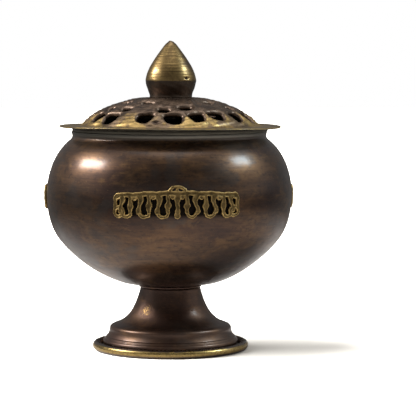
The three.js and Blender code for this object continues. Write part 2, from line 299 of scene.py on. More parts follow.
def openwork(name, inside, top, bottom, edge, values, wrap=False):
    """A closed casting with holes, from a grid of places. It is solid where inside > 0: there it has
    the upper and the lower face top and bottom, and the two meet along the line where inside is 0,
    at edge. The attribute crest is values on the upper face, 0 at the edges and -1 on the lower face.
    wrap joins the grid's last column to its first."""
    ni, nj = inside.shape
    solid = inside > 0
    verts, marks = [], []

    def number(mask, places, mark):
        ids = np.full(mask.shape, -1)
        start = sum(len(v) for v in verts)
        ids[mask] = start + np.arange(mask.sum())
        verts.append(places[mask])
        marks.append(mark[mask])
        return ids

    shut = np.zeros_like(solid)
    shut[:, 0] = shut[:, -1] = True
    if not wrap:
        shut[0, :] = shut[-1, :] = True
    upper = number(solid, top, values)
    lower = number(solid & ~shut, bottom, -np.ones_like(values))
    lower[solid & shut] = upper[solid & shut]

    def crossings(axis):
        a, b = inside, np.roll(inside, -1, axis)
        cross = (a > 0) != (b > 0)
        if axis == 1:
            cross[:, -1] = False
        elif not wrap:
            cross[-1, :] = False
        t = np.where(cross, a / np.where(a == b, 1, a - b), 0)[..., None]
        places = edge * (1 - t) + np.roll(edge, -1, axis) * t
        return number(cross, places, np.zeros_like(values))

    along_i, along_j = crossings(0), crossings(1)
    faces = []
    for i in range(ni if wrap else ni - 1):
        n = (i + 1) % ni
        for j in range(nj - 1):
            corners = ((i, j), (n, j), (n, j + 1), (i, j + 1))
            flags = [solid[c] for c in corners]
            if not any(flags):
                continue
            sides = (along_i[i, j], along_j[n, j], along_i[i, j + 1], along_j[i, j])
            for ids, order in ((upper, 1), (lower, -1)):
                loop = []
                for corner, flag, side in zip(corners, flags, sides):
                    if flag:
                        loop.append(int(ids[corner]))
                    if side >= 0:
                        loop.append(int(side))
                faces.append(tuple(loop[::order]))
    return mesh_object(name, np.concatenate(verts), faces, {"crest": np.concatenate(marks)})


# ---------------------------------------------------------------- bowl, foot and base

bowl_side = catmull(
    [
        (13.2, BOWL_BASE_Z + 0.05),
        (18.6, 25.4),
        (25.9, 28.7),
        (32.4, 33.1),
        (38, 38.2),
        (42, 43.4),
        (44.3, 49.6),
        (BOWL_RADIUS, 57),
        (44.7, 63.2),
        (42.9, 69.2),
        (40.2, 74),
        (37.5, 76.95),
        (NECK_RADIUS + 0.3, 78.3),
        (NECK_RADIUS, 79.3),
        (NECK_RADIUS + 0.3, LIP_Z - 0.4),
    ],
    0.7,
)


def bowl_radius(height):
    return np.interp(height, bowl_side[:, 1], bowl_side[:, 0])


def off_centre(angle):
    """The bowl was soldered on a little to the left of the foot's axis, as seen from the front."""
    return -BOWL_SHIFT * np.cos(angle - CAMERA_BEARING - math.pi / 2)


def hand_spun(angle, radius, height):
    """Sheet spun by hand: a little out of round, and barely wavy."""
    on_bowl = smoothstep(26, 32, height)
    radius = radius + off_centre(angle) * on_bowl
    wave = 0.05 * np.sin(2 * angle + 0.6) + 0.035 * np.sin(3 * angle + 0.11 * height)
    wave = wave + 0.014 * np.sin(7 * angle + 0.31 * height) * np.sin(0.4 * height + 1.3)
    return radius + wave * smoothstep(12, 25, radius), height


def plaque_gap_shade(angle, radius, height):
    """Near 1 on the bowl's skin within a plaque's outline: painted shade for the gaps behind the plaque."""
    nearest = np.full(radius.shape, 9.0)
    for bearing in PLAQUE_BEARINGS.values():
        turn = (angle - math.radians(bearing) + math.pi) % (2 * math.pi) - math.pi
        u = np.abs(turn) * PLAQUE_BEND_RADIUS
        beyond = np.maximum(u - PLAQUE_HALF_WIDTH + 1.2, np.abs(height - PLAQUE_Z) - 3.9)
        nearest = np.minimum(nearest, beyond)
    return smoothstep(0.9, -0.6, nearest) * (radius > 43)


def make_bowl():
    inner = offset(bowl_side, BOWL_WALL)[::-3]
    lip = np.vstack(
        [
            arc((NECK_RADIUS + 0.07, LIP_Z), LIP_ROUNDING, 0, 90, 4),
            arc((NECK_RADIUS - 0.65, LIP_Z), LIP_ROUNDING, 90, 180, 4),
        ]
    )
    outline = np.vstack(
        [
            [(BOLT_HOLE_RADIUS, BOWL_BASE_Z)],
            bowl_side,
            lip,
            inner[1:],
            [(BOLT_HOLE_RADIUS, BOWL_BASE_Z + BOWL_WALL)],
        ]
    )
    return turned("bowl_fine", outline, 512, hand_spun, {"plaque_gap_shade": plaque_gap_shade})


def make_foot():
    side = catmull(
        [
            (24.3, 1.5),
            (24.75, 2.3),
            (24.95, 3.1),
            (24.85, 3.7),
            (24.5, 4.2),
            (24.2, 4.4),
            (24.1, 4.7),
            (23.9, 5.0),
            (23.5, 5.2),
            (23.25, 5.6),
            (22.9, 6.3),
            (22.65, 7),
            (22.55, 7.7),
            (22.5, 8.2),
            (22.2, 8.8),
            (21.4, 9.35),
            (18.8, 10.4),
            (16.5, 12),
            (15, 13.6),
            (13.2, 16.7),
            (12, 19.8),
            (11.4, 21.7),
            (FOOT_TOP_RADIUS, FOOT_TOP_Z),
        ],
        0.35,
    )
    inner = offset(side, FOOT_WALL)[::-4]
    under = FOOT_TOP_Z - FOOT_TOP_WALL
    outline = np.vstack(
        [side, [(BOLT_HOLE_RADIUS, FOOT_TOP_Z), (BOLT_HOLE_RADIUS, under), (9.6, under)], inner[2:]]
    )
    return turned("foot_fine", outline, 192, hand_spun)


def make_base_ring():
    centre = (BEAD_CENTRE_RADIUS, BEAD_RADIUS + 0.03)
    bead = arc(centre, BEAD_RADIUS, -90, 150, 24)
    crimp = [(25.62, 2.2), (25.45, 1.9), (25.5, 1.55)]
    ledge = [
        (25.2, LEDGE_THICKNESS + 0.03),
        (LEDGE_INNER_RADIUS + 0.3, LEDGE_THICKNESS),
        (LEDGE_INNER_RADIUS, 0.6),
        (LEDGE_INNER_RADIUS + 0.3, 0.02),
        (26, 0.02),
    ]
    outline = np.vstack([bead, crimp, ledge])

    def crimped(angle, radius, height):
        # The sheet's edge is pinched in, in small uneven bites, where it is rolled over
        bite = 0.5 + 0.5 * np.cos(118 * angle + 0.9 * np.sin(5 * angle))
        where = smoothstep(28.1, 26.8, radius) * smoothstep(1.3, 2.2, height)
        radius = radius + 0.3 * bite * where * smoothstep(26.6, 25.7, radius)
        height = height - 0.3 * bite * where
        wave = 0.06 * np.sin(2 * angle + 1) * smoothstep(24, 28, radius)
        height = height + wave * smoothstep(0, 3, height)
        return radius, np.maximum(height, 0)

    return turned("base_ring_fine", outline, 720, crimped)


def make_joint_collar():
    low, high = FOOT_TOP_Z + 0.25, BOWL_BASE_Z - 0.25
    middle = (low + high) / 2
    edge = FOOT_TOP_RADIUS + 0.45
    corners = [(3, low), (edge, low), (edge + 0.15, middle), (edge, high), (3, high)]
    return turned("joint_collar_fine", rounded(corners, 0.12), 160)


# ---------------------------------------------------------------- plaques


def segment(u, v, a, b):
    """Distance to the line from a to b."""
    ax, ay = a
    dx, dy = b[0] - ax, b[1] - ay
    t = np.clip(((u - ax) * dx + (v - ay) * dy) / (dx * dx + dy * dy), 0, 1)
    return np.hypot(u - ax - t * dx, v - ay - t * dy)


BAR_PITCH = 2 * PLAQUE_HALF_WIDTH / 14
BAR_FOOT = -3.1


def ornament(u, v):
    """A mirrored frieze: how far each point is inside the metal, in mm. An arched rail carries a domed
    crest. Balusters and wavy bars hang from it in turn, joined in pairs by loops below, with round drops
    between the pairs, and a scroll closes each end."""
    u = np.abs(u)
    rail_line = 3.1 + 1.15 * np.cos(math.pi * u / (2 * PLAQUE_HALF_WIDTH))
    outside = np.maximum(np.abs(v - rail_line) - 0.95, u - 21.6)
    for k in range(7):
        centre = k * BAR_PITCH
        if k % 2:
            swell = 0.8 + 0.4 * np.exp(-(((v + 0.2) / 0.9) ** 2))
            bar = np.abs(u - centre) - swell
        else:
            bend = centre + 0.5 * np.sin((v + 3.4) * 0.95) * (1 if k else 0)
            bar = np.abs(u - bend) - (0.88 + 0.3 * smoothstep(0.8, 2.8, v))
        outside = np.minimum(outside, np.maximum(bar, np.maximum(BAR_FOOT - v, v - rail_line)))
        middle = u - centre - BAR_PITCH / 2
        if k % 2:
            loop = np.abs(np.hypot(middle, v + 2.5) - BAR_PITCH / 2) - 0.68
            outside = np.minimum(outside, np.maximum(loop, v + 2.4))
        elif k < 6:
            outside = np.minimum(outside, np.hypot(middle, v - rail_line + 1.3) - 0.9)
    outside = np.minimum(outside, np.hypot(u, v + 3.45) - 1.25)
    scroll = np.abs(np.hypot(u - 21.0, v + 2.4) - 1.6) - 0.7
    outside = np.minimum(outside, np.minimum(scroll, np.hypot(u - 21.0, v + 2.4) - 0.45))
    outside = np.minimum(outside, segment(u, v, (22.2, 2.9), (22.45, -1.2)) - 0.8)
    outside = np.minimum(outside, np.hypot(u - 21.5, v - 3.05) - 1.35)
    dome = np.hypot(u / 1.45, v - 4.7)
    arch = np.maximum(np.abs(dome - 1.9) - 0.52, 4.3 - v)
    bead = np.hypot(u, v - 5.4) - 0.75
    outside = np.minimum(outside, np.minimum(arch, bead))
    return -outside


def make_plaque(name, bearing):
    step = 0.16
    u = np.arange(-PLAQUE_HALF_WIDTH - step, PLAQUE_HALF_WIDTH + 2 * step, step)[:, None]
    v = np.arange(-5.4, 8, step)[None, :]
    u, v = u + 0 * v, v + 0 * u
    wobble_u = 0.13 * np.sin(1.3 * v + 0.9 * u) + 0.08 * np.sin(2.9 * v - 1.7 * u)
    wobble_v = 0.12 * np.sin(0.8 * u + 1.1) + 0.07 * np.sin(2.1 * u + 2.3 * v)
    inside = ornament(u + wobble_u, v + wobble_v)
    swell = np.sqrt(np.clip(1 - (1 - np.clip(inside / 0.3, 0, 1)) ** 2, 0, 1))
    sunk = smoothstep(0.34, 0.62, inside)
    pits = 0.04 * np.sin(5.1 * u + 2 * np.sin(3.3 * v)) * np.sin(6.3 * v + 1.7 * np.sin(4.1 * u))
    lift = 1.03 * swell - 0.2 * sunk + pits * swell
    angle = math.radians(bearing) + u / PLAQUE_BEND_RADIUS
    height = PLAQUE_Z + v

    def place(rise):
        radius = bowl_radius(height) + off_centre(angle) + rise
        return np.stack([radius * np.cos(angle), radius * np.sin(angle), height + 0 * rise], axis=2)

    base = place(-0.12 + 0 * u)
    edge_light = np.exp(-(((inside - 0.24) / 0.15) ** 2))
    return openwork(name, inside, place(lift), base, base, edge_light)


# ---------------------------------------------------------------- charcoal cup


def make_charcoal_cup():
    flange_z = LIP_Z + GAP
    base = arc((20, 67.5), 14, -90, 0, 14)
    flange = catmull([(34, 72), (34, 79.4), (34.3, 80.5), (34.9, flange_z), (35.95, flange_z)], 0.5)
    side = np.vstack([[(0, 53.5), (12, 53.5)], base, flange])
    thickness = np.where(side[:, 0] > 34.6, 0.86, 0.9)[:, None]
    inner = side + normals(side) * thickness
    inner[0] = (0, 54.4)
    rim = [
        (35.99, flange_z + 0.06),
        (36.02, flange_z + 0.2),
        (36.02, flange_z + 0.66),
        (35.99, flange_z + 0.8),
    ]
    return turned("charcoal_cup_fine", np.vstack([side, rim, inner[::-1]]), 256)


# ---------------------------------------------------------------- lid

# The outer face's line, from the finial's screw hole over the dome and out along the brim
dome_line = catmull(
    [
        (SCREW_HOLE_RADIUS, CROWN_Z),
        (7.8, CROWN_Z),
        (11.5, 92.95),
        (16.7, 91.95),
        (22.3, 90.1),
        (26.4, 88.4),
        (29.2, 86.6),
        (31.2, 84.9),
        (32.6, 83.3),
        (34.2, BRIM_Z + 1),
        (37, BRIM_Z + 1),
        (BRIM_RADIUS, BRIM_Z + 0.9),
    ],
    0.05,
)

# Rows of holes as cast, the lowest first: distance from the axis, half width, half length, how square
# the holes are (2 is an oval), and their bearings from the front in degrees
HOLE_ROWS = [
    (
        29.3,
        3.05,
        2.75,
        3.0,
        [-166, -148, -129, -109, -84, -67, -51, -22, -1, 17, 34, 53, 71, 89, 107, 125, 143, 160, 177],
    ),
    (23.7, 2.4, 2.05, 2.5, [-178, -157, -134, -112, -91, -67, -46, -9, 11, 64, 86, 109, 132, 155]),
    (17.4, 2.6, 1.6, 2.3, [-175, -141, -104, -68, -32, 49, 80, 113, 149]),
]
# Holes cast out of line, by row and bearing: how much nearer the axis than the row
STRAYS = {(0, -22): 0.6, (0, 17): 1, (0, 34): 1.4, (0, 53): 0.5, (1, 11): 1.7}
# The lowest holes beyond a bearing are smaller and nearer the axis, so that no light shows through
REAR_BEARING = 95
REAR_SHRINK = 0.78
REAR_STRAY = 1.4
DIMPLE_BEARING = -12.5


def line_travel(line):
    """Distance along the line at each of its points."""
    return np.concatenate([[0], np.cumsum(np.linalg.norm(np.diff(line, axis=0), axis=1))])


def web_depth(bearing, radius, travel, travel_of):
    """How far each place on the dome is from the nearest hole's edge, in mm; negative in a hole."""
    depth = np.full(np.broadcast(bearing, radius).shape, 50.0)
    for row, (hole_radius, width, length, power, bearings) in enumerate(HOLE_ROWS):
        for i, degrees in enumerate(bearings):
            turn = (np.degrees(bearing) + 90 - degrees + 180) % 360 - 180
            at_rear = abs(degrees) > REAR_BEARING and row == 0
            rear = REAR_SHRINK if at_rear else 1
            lean = 0.22 * math.sin(2.7 * i + row)
            x = np.radians(turn) * radius
            stray = STRAYS.get((row, degrees), 0.3 * math.sin(4.1 * i + 2 * row))
            stray = stray + (REAR_STRAY if at_rear else 0)
            y = travel - travel_of(hole_radius - stray)
            near = (np.abs(x) < 9) & (np.abs(y) < 9)
            x, y = x + lean * y, y - lean * x
            w = width * rear * (1 + 0.07 * math.sin(3.3 * i + row) - 0.06 * y)
            r = (np.abs(x / w) ** power + np.abs(y / (length * rear)) ** power) ** (1 / power)
            distance = np.where(near, (r - 1) * min(width, length) * 0.93, 50)
            depth = np.minimum(depth, distance)
    return depth


def make_pierced_cover():
    columns = 760
    all_travel = line_travel(dome_line)

    def travel_of(radius):
        return np.interp(radius, dome_line[:, 0], all_travel)

    pierced_from, pierced_to, rim = travel_of(14), travel_of(33.2), all_travel[-1]
    travel = np.concatenate(
        [
            np.linspace(0, 0.8, 4, endpoint=False),
            np.linspace(0.8, pierced_from, 9, endpoint=False),
            np.linspace(pierced_from, pierced_to, 90, endpoint=False),
            np.linspace(pierced_to, rim - 0.6, 10, endpoint=False),
            rim - 0.6 * (1 - np.sin(np.linspace(0, math.pi / 2, 7))),
        ]
    )[None, :]
    line = np.stack([np.interp(travel[0], all_travel, dome_line[:, k]) for k in (0, 1)], axis=1)
    out = normals(line)
    bearing = np.linspace(0, 2 * math.pi, columns, endpoint=False)[:, None]
    radius = line[None, :, 0] + 0 * bearing
    depth = web_depth(bearing, radius, travel + 0 * bearing, travel_of)
    depth = depth + 0.12 * np.sin(9 * bearing + 0.8 * travel)
    depth = depth + 0.09 * np.sin(17 * bearing - 1.1 * travel + 1)

    brim = smoothstep(33.2, 34.6, radius)
    away = (bearing - math.radians(DIMPLE_BEARING - 90 + 360)) * 31
    down = travel - travel_of(31)
    dimple = np.exp(-((away / 1.3) ** 2) - (down / 0.8) ** 2)
    warp = brim * (0.1 * np.sin(2 * bearing + 0.4) - 0.16 * np.cos(bearing) + 0.05 * np.sin(5 * bearing))
    facing = (bearing - CAMERA_BEARING) % (2 * math.pi) - math.pi
    warp = warp + brim * (0.05 + 0.42 * smoothstep(0.5, 1, -np.cos(facing)))
    # The brim thins towards its rim. Next to the neck it is as thick as it takes to rest on the cup.
    brim_thick = 0.95 - 0.35 * smoothstep(36, 40.5, radius) + warp * smoothstep(38, 36.2, radius)
    thick = LID_THICKNESS * (1 - brim) + brim_thick * brim

    to_border = np.minimum(travel / 0.8, (rim - travel) / 0.5)
    roundness = np.clip(np.minimum(depth / 1.35, to_border), 0, 1)
    swell = np.sqrt(1 - (1 - roundness) ** 2)
    lumps = 0.1 * np.sin(23 * bearing + 1.9 * travel) * np.sin(1.3 * travel - 7 * bearing)
    lumps = (lumps + 0.06 * np.sin(41 * bearing + 0.7 * travel)) * (1 - brim)

    def place(rise):
        r = radius + out[None, :, 0] * rise
        z = line[None, :, 1] + out[None, :, 1] * rise + warp
        return np.stack([r * np.cos(bearing), r * np.sin(bearing), z], axis=2)

    middle = -thick / 2
    top = place(middle + (thick / 2 + lumps) * swell - 0.6 * dimple)
    bottom = place(middle - thick / 2 * swell)
    inside = np.where(depth > 0, np.maximum(depth, 1e-4), depth)
    crest = swell * (1 - dimple)
    return openwork("pierced_cover_fine", inside, top, bottom, place(middle), crest, wrap=True)


def make_locating_ring():
    top = BRIM_Z - 0.05
    corners = [(31.4, top - 5.2), (32.5, top - 5.2), (32.5, top), (31.4, top)]
    return turned("locating_ring_fine", rounded(corners, 0.3), 160)


# ---------------------------------------------------------------- finial


def make_finial():
    side = catmull(
        [
            (7.8, FINIAL_BASE_Z - 0.2),
            (7.85, 94.2),
            (8.4, 95.8),
            (8.9, 97.2),
            (9.25, 98.7),
            (FINIAL_RADIUS, FINIAL_WIDEST_Z),
            (9.2, 100.3),
            (8.85, 101.7),
            (8.33, 103.1),
            (7.6, 104.6),
            (6.7, 106.1),
            (5.27, 108.3),
            (3.67, 110.5),
            (1.97, 112.7),
            (0.9, 113.65),
        ],
        0.16,
    )
    bore_top = 99.8
    outline = np.vstack(
        [
            [(0, bore_top), (SCREW_HOLE_RADIUS, bore_top), (SCREW_HOLE_RADIUS, FINIAL_BASE_Z - 0.2)],
            side,
            [(0.35, TOP_Z - 0.06), (0, TOP_Z)],
        ]
    )

    def tooled(angle, radius, height):
        # Fine lathe lines above the widest point, and a small casting pit near it. The knob is fixed a
        # little to the right of the axis, as seen from the front.
        ring = 0.011 * np.sin(2 * math.pi * height / 0.62) + 0.008 * np.sin(2 * math.pi * height / 1.13)
        above = smoothstep(FINIAL_WIDEST_Z, FINIAL_WIDEST_Z + 0.8, height)
        turn = angle - (CAMERA_BEARING + 2 * math.pi + math.radians(PIT_BEARING))
        pit = np.exp(-((turn * 9 / 0.7) ** 2) - ((height - PIT_Z) / 0.26) ** 2)
        lower = 0.03 * np.sin(9 * angle + 2.3 * height) * (1 - above) * smoothstep(93.3, 94, height)
        outer = smoothstep(2.5, 4, radius)
        aside = FINIAL_SHIFT * np.cos(angle - CAMERA_BEARING - math.pi / 2) * smoothstep(0.2, 1, radius)
        return radius + aside + outer * (ring * above + lower - 0.6 * pit), height

    return turned("finial_fine", outline, 320, tooled)


# ---------------------------------------------------------------- fasteners


def make_washer(name, outer, hole, bottom):
    top = bottom + WASHER_THICKNESS
    return turned(name, rounded([(hole, bottom), (outer, bottom), (outer, top), (hole, top)], 0.12), 96)


def slotted_screw(name, shank, head, shank_end, seat, head_height, slot):
    """A threaded cheese-head screw on the axis. The head is on the far side of seat from shank_end, and
    its slot is sunk into the head's face."""
    way = 1 if shank_end < seat else -1
    crown = seat + way * head_height
    turns = np.arange(shank_end + way * 0.4, seat - way * 0.5, way * 0.35)
    half = [(0, shank_end), (shank - 0.35, shank_end)]
    half += [(shank - 0.25 * (i % 2), z) for i, z in enumerate(turns)]
    half += [
        (shank, seat),
        (head - 0.1, seat),
        (head, seat + way * 0.15),
        (head, crown - way * 0.7),
        (head * 0.93, crown - way * 0.28),
        (head * 0.8, crown - way * 0.08),
        (head * 0.55, crown),
    ]
    rings = np.linspace(0.5, 0, 14) * head
    outline = np.vstack([half, np.stack([rings, 0 * rings + crown], axis=1)])

    def cut(angle, radius, height):
        across = np.abs(radius * np.sin(angle))
        deep = smoothstep(slot * 0.62, slot * 0.5, across) * (np.abs(height - crown) < 0.5)
        return radius, height - way * 0.8 * deep

    return turned(name, outline, 192, cut)


def make_nut(name, radius, bottom, height, hole):
    """A hexagon nut with its corners chamfered."""
    outline = [
        (hole, bottom + 0.3),
        (hole + 0.3, bottom),
        (radius * 0.88, bottom),
        (radius, bottom + 0.45),
        (radius, bottom + height - 0.45),
        (radius * 0.88, bottom + height),
        (hole + 0.3, bottom + height),
        (hole, bottom + height - 0.3),
    ]

    def hexagonal(angle, r, z):
        sector = np.mod(angle + math.pi / 6, math.pi / 3) - math.pi / 6
        flat = radius * math.cos(math.pi / 6) / np.cos(sector)
        return np.minimum(r, flat), z

    return turned(name, outline, 96, hexagonal)


# ---------------------------------------------------------------- materials


class Nodes:
    """A node tree being wired up. Wherever a number or a colour goes in, a node's output may too."""

    def __init__(self, tree):
        self.tree = tree

    def node(self, kind, inputs=None, **settings):
        made = self.tree.nodes.new(kind)
        for label, value in settings.items():
            setattr(made, label, value)
        for label, value in (inputs or {}).items():
            self.feed(made.inputs[label], value)
        return made

    def feed(self, socket, value):
        if isinstance(value, bpy.types.NodeSocket):
            self.tree.links.new(value, socket)
        elif socket.type == "RGBA":
            socket.default_value = (*value, 1)
        else:
            socket.default_value = value

    def span(self, value, low, high, to_low=0.0, to_high=1.0):
        """value from low..high eased to to_low..to_high, clamped."""
        inputs = {"Value": value, "From Min": low, "From Max": high, "To Min": to_low, "To Max": to_high}
        return self.node("ShaderNodeMapRange", inputs, interpolation_type="SMOOTHSTEP").outputs[0]

    def math(self, operation, a, b=0.0):
        return self.node("ShaderNodeMath", {0: a, 1: b}, operation=operation).outputs[0]

    def largest(self, first, *others):
        for other in others:
            first = self.math("MAXIMUM", first, other)
        return first

    def between(self, share, a, b):
        """The number a where share is 0, b where it is 1."""
        return self.math("ADD", self.math("MULTIPLY", share, self.math("SUBTRACT", b, a)), a)

    def mix(self, share, a, b):
        """The colour a where share is 0, b where it is 1. Sockets 0, 6 and 7 are the colour mix's."""
        return self.node("ShaderNodeMix", {0: share, 6: a, 7: b}, data_type="RGBA").outputs[2]

    def distance(self, place, spot):
        inputs = {0: place, 1: spot}
        return self.node("ShaderNodeVectorMath", inputs, operation="DISTANCE").outputs["Value"]


class Paint(Nodes):
    """A procedural material being built. Sizes of noise and depths of bump are in millimetres, places in
    metres, as on the object."""

    def __init__(self, name, **uniform):
        self.material = bpy.data.materials.new(name)
        self.material.use_nodes = True
        super().__init__(self.material.node_tree)
        self.shader = self.tree.nodes["Principled BSDF"]
        self.place = self.node("ShaderNodeTexCoord").outputs["Object"]
        for label, value in uniform.items():
            self.shader.inputs[label.replace("_", " ")].default_value = value

    def set(self, label, value):
        self.feed(self.shader.inputs[label], value)

    def noise(self, size, detail=4.0, stretch=(1, 1, 1), rough=0.55, twist=0.0):
        scaled = self.node("ShaderNodeMapping", {"Vector": self.place, "Scale": stretch})
        inputs = {
            "Vector": scaled.outputs[0],
            "Scale": 1000 / size,
            "Detail": detail,
            "Roughness": rough,
            "Distortion": twist,
        }
        return self.node("ShaderNodeTexNoise", inputs).outputs["Fac"]

    def height(self):
        return self.node("ShaderNodeSeparateXYZ", {"Vector": self.place}).outputs["Z"]

    def radius(self):
        """Distance from the object's axis."""
        flat = self.node("ShaderNodeVectorMath", {0: self.place, 1: (1, 1, 0)}, operation="MULTIPLY")
        return self.node("ShaderNodeVectorMath", {0: flat.outputs[0]}, operation="LENGTH").outputs["Value"]

    def attribute(self, label):
        return self.node("ShaderNodeAttribute", attribute_name=label).outputs["Fac"]

    def near(self, spot, reach):
        """1 at a spot (mm), falling to 0 at reach from it."""
        return self.span(self.distance(self.place, [c * MM for c in spot]), 0, reach * MM, 1, 0)

    def bump(self, *layers):
        """layers are (height 0..1, depth in mm)."""
        normal = None
        for height, depth in layers:
            inputs = {"Height": height, "Distance": depth * MM, "Strength": 1.0}
            if normal:
                inputs["Normal"] = normal
            normal = self.node("ShaderNodeBump", inputs).outputs[0]
        self.set("Normal", normal)


def from_axis(degrees_from_front, radius, height):
    """A place on the object, by its bearing from the camera's side."""
    angle = CAMERA_BEARING + math.radians(degrees_from_front)
    return radius * math.cos(angle), radius * math.sin(angle), height


def brown_patina(name, coat, smooth, lightening):
    """Sheet brass browned by heat: clouds and streaks of dark and coppery brown under a thin clear coat.
    coat is how much of it is left, smooth the least roughness, and the last argument how far a lighter
    brown is painted evenly over it, as painted light."""
    paint = Paint(name, Metallic=1.0, Coat_Roughness=0.19, Coat_IOR=1.5)
    clouds = paint.noise(30, 4, stretch=(1, 1, 1.5), twist=0.4)
    streaks = paint.noise(16, 6, stretch=(1, 1, 4.5), rough=0.66, twist=0.3)
    mottle = paint.noise(2.5, 5, stretch=(1, 1, 1.6), rough=0.68)
    stains = paint.noise(9, 6, stretch=(1, 1, 1.9), rough=0.66, twist=0.5)
    brushed = paint.noise(0.5, 3, stretch=(0.05, 0.05, 1))
    fleck = paint.noise(1.3, 4, stretch=(1, 1, 2.2), rough=0.7)
    cool = paint.noise(21, 4, stretch=(1, 1, 1.4), twist=0.5)
    base = paint.mix(paint.span(clouds, 0.34, 0.64), DARK_BROWN, COPPERY_BROWN)
    base = paint.mix(paint.span(streaks, 0.42, 0.62, 0, 0.5), base, STREAK_BROWN)
    base = paint.mix(paint.span(stains, 0.5, 0.68, 0, 0.65), base, GOLDEN_BROWN)
    base = paint.mix(paint.span(mottle, 0.5, 0.66, 0, 0.5), base, MOTTLE_BROWN)
    base = paint.mix(paint.span(brushed, 0.4, 0.62, 0, 0.22), base, BRUSHED_BROWN)
    base = paint.mix(paint.span(fleck, 0.62, 0.72, 0, 0.6), base, FLECK_GOLD)
    base = paint.mix(paint.span(cool, 0.5, 0.62, 0, 0.6), base, COOL_BROWN)
    # The bowl's neck is greyer, and the bowl's skin in the gaps behind the plaques is painted near black as
    # painted shade
    neck = paint.span(paint.height(), 78.4 * MM, 80.2 * MM)
    base = paint.mix(neck, base, NECK_GREY)
    gap_shade_mask = paint.attribute("plaque_gap_shade")
    base = paint.mix(gap_shade_mask, base, GAP_SHADE_BLACK)
    # A lighter brown laid evenly over the part, as painted light
    base = paint.mix(lightening, base, FOOT_LIGHTENING_BROWN)
    # A patch on the left of the foot is rubbed through to the brass in specks
    patch = paint.near(from_axis(-40, 14.2, 15.6), 4.5)
    speckle = paint.noise(0.8, 5, rough=0.78, twist=0.8)
    rub = paint.span(paint.math("ADD", speckle, paint.math("MULTIPLY", patch, 0.26)), 0.71, 0.78)
    base = paint.mix(paint.math("MULTIPLY", rub, paint.span(patch, 0.05, 0.3)), base, RUBBED_GOLD)
    paint.set("Base Color", base)
    bare = paint.largest(gap_shade_mask, paint.span(patch, 0, 0.4))
    paint.set("Coat Weight", paint.span(bare, 0, 1, coat, 0))
    smear = paint.noise(14, 6, stretch=(1, 1, 2.2), rough=0.62, twist=0.6)
    rough = paint.span(smear, 0.32, 0.72, smooth, smooth + 0.14)
    paint.set("Roughness", paint.largest(rough, paint.math("MULTIPLY", bare, 0.5)))
    spun = paint.noise(0.9, 4, stretch=(0.02, 0.02, 1))
    grain = paint.noise(0.5, 3, stretch=(1, 1, 2))
    dents = paint.noise(8, 2)
    paint.bump((spun, 0.014), (grain, 0.007), (dents, 0.07))
    return paint.material


def cover_patina():
    """The cast lid: brown, rubbed to brass in patches between the lowest holes and on the brim's edge,
    and sooted beneath the dome. The attribute crest is 1 on high places and -1 on the lower face."""
    paint = Paint("cover_patina", Metallic=1.0, Coat_Weight=0.2, Coat_Roughness=0.25)
    radius = paint.radius()
    blotch = paint.noise(5, 5)
    patches = paint.noise(8, 4, rough=0.7)
    fine = paint.noise(1.1, 4)
    marks = paint.attribute("crest")
    base = paint.mix(paint.span(blotch, 0.3, 0.7), LID_DARK, LID_BROWN)
    low = paint.span(radius, 25.6 * MM, 29.4 * MM)
    crest = paint.span(marks, 0.6, 0.94)
    worn = paint.math("MULTIPLY", low, crest)
    worn = paint.math("MULTIPLY", worn, paint.span(patches, 0.42, 0.56, 0.12, 1))
    base = paint.mix(worn, base, LID_GOLD)
    brim = paint.span(radius, 33 * MM, 35 * MM)
    base = paint.mix(paint.math("MULTIPLY", brim, 0.8), base, BRIM_BROWN)
    base = paint.mix(paint.math("MULTIPLY", brim, paint.span(fine, 0.5, 0.62)), base, BRIM_GOLD)
    edge = paint.span(radius, 40.3 * MM, 40.8 * MM)
    base = paint.mix(paint.math("MULTIPLY", edge, paint.span(blotch, 0.4, 0.5)), base, EDGE_GOLD)
    pore = paint.math("MULTIPLY", paint.span(fine, 0.62, 0.7), 0.6)
    base = paint.mix(pore, base, PORE_BLACK)
    below = paint.span(marks, -0.75, -0.05, 1, 0)
    base = paint.mix(paint.math("MULTIPLY", below, brim), base, UNDERSIDE_GREY)
    soot = paint.math("MULTIPLY", below, paint.math("SUBTRACT", 1, brim))
    base = paint.mix(soot, base, SOOT_BLACK)
    paint.set("Base Color", base)
    rough = paint.span(blotch, 0.3, 0.75, 0.38, 0.54)
    paint.set("Roughness", paint.largest(rough, paint.math("MULTIPLY", soot, 0.75)))
    paint.bump((blotch, 0.14), (fine, 0.035))
    return paint.material


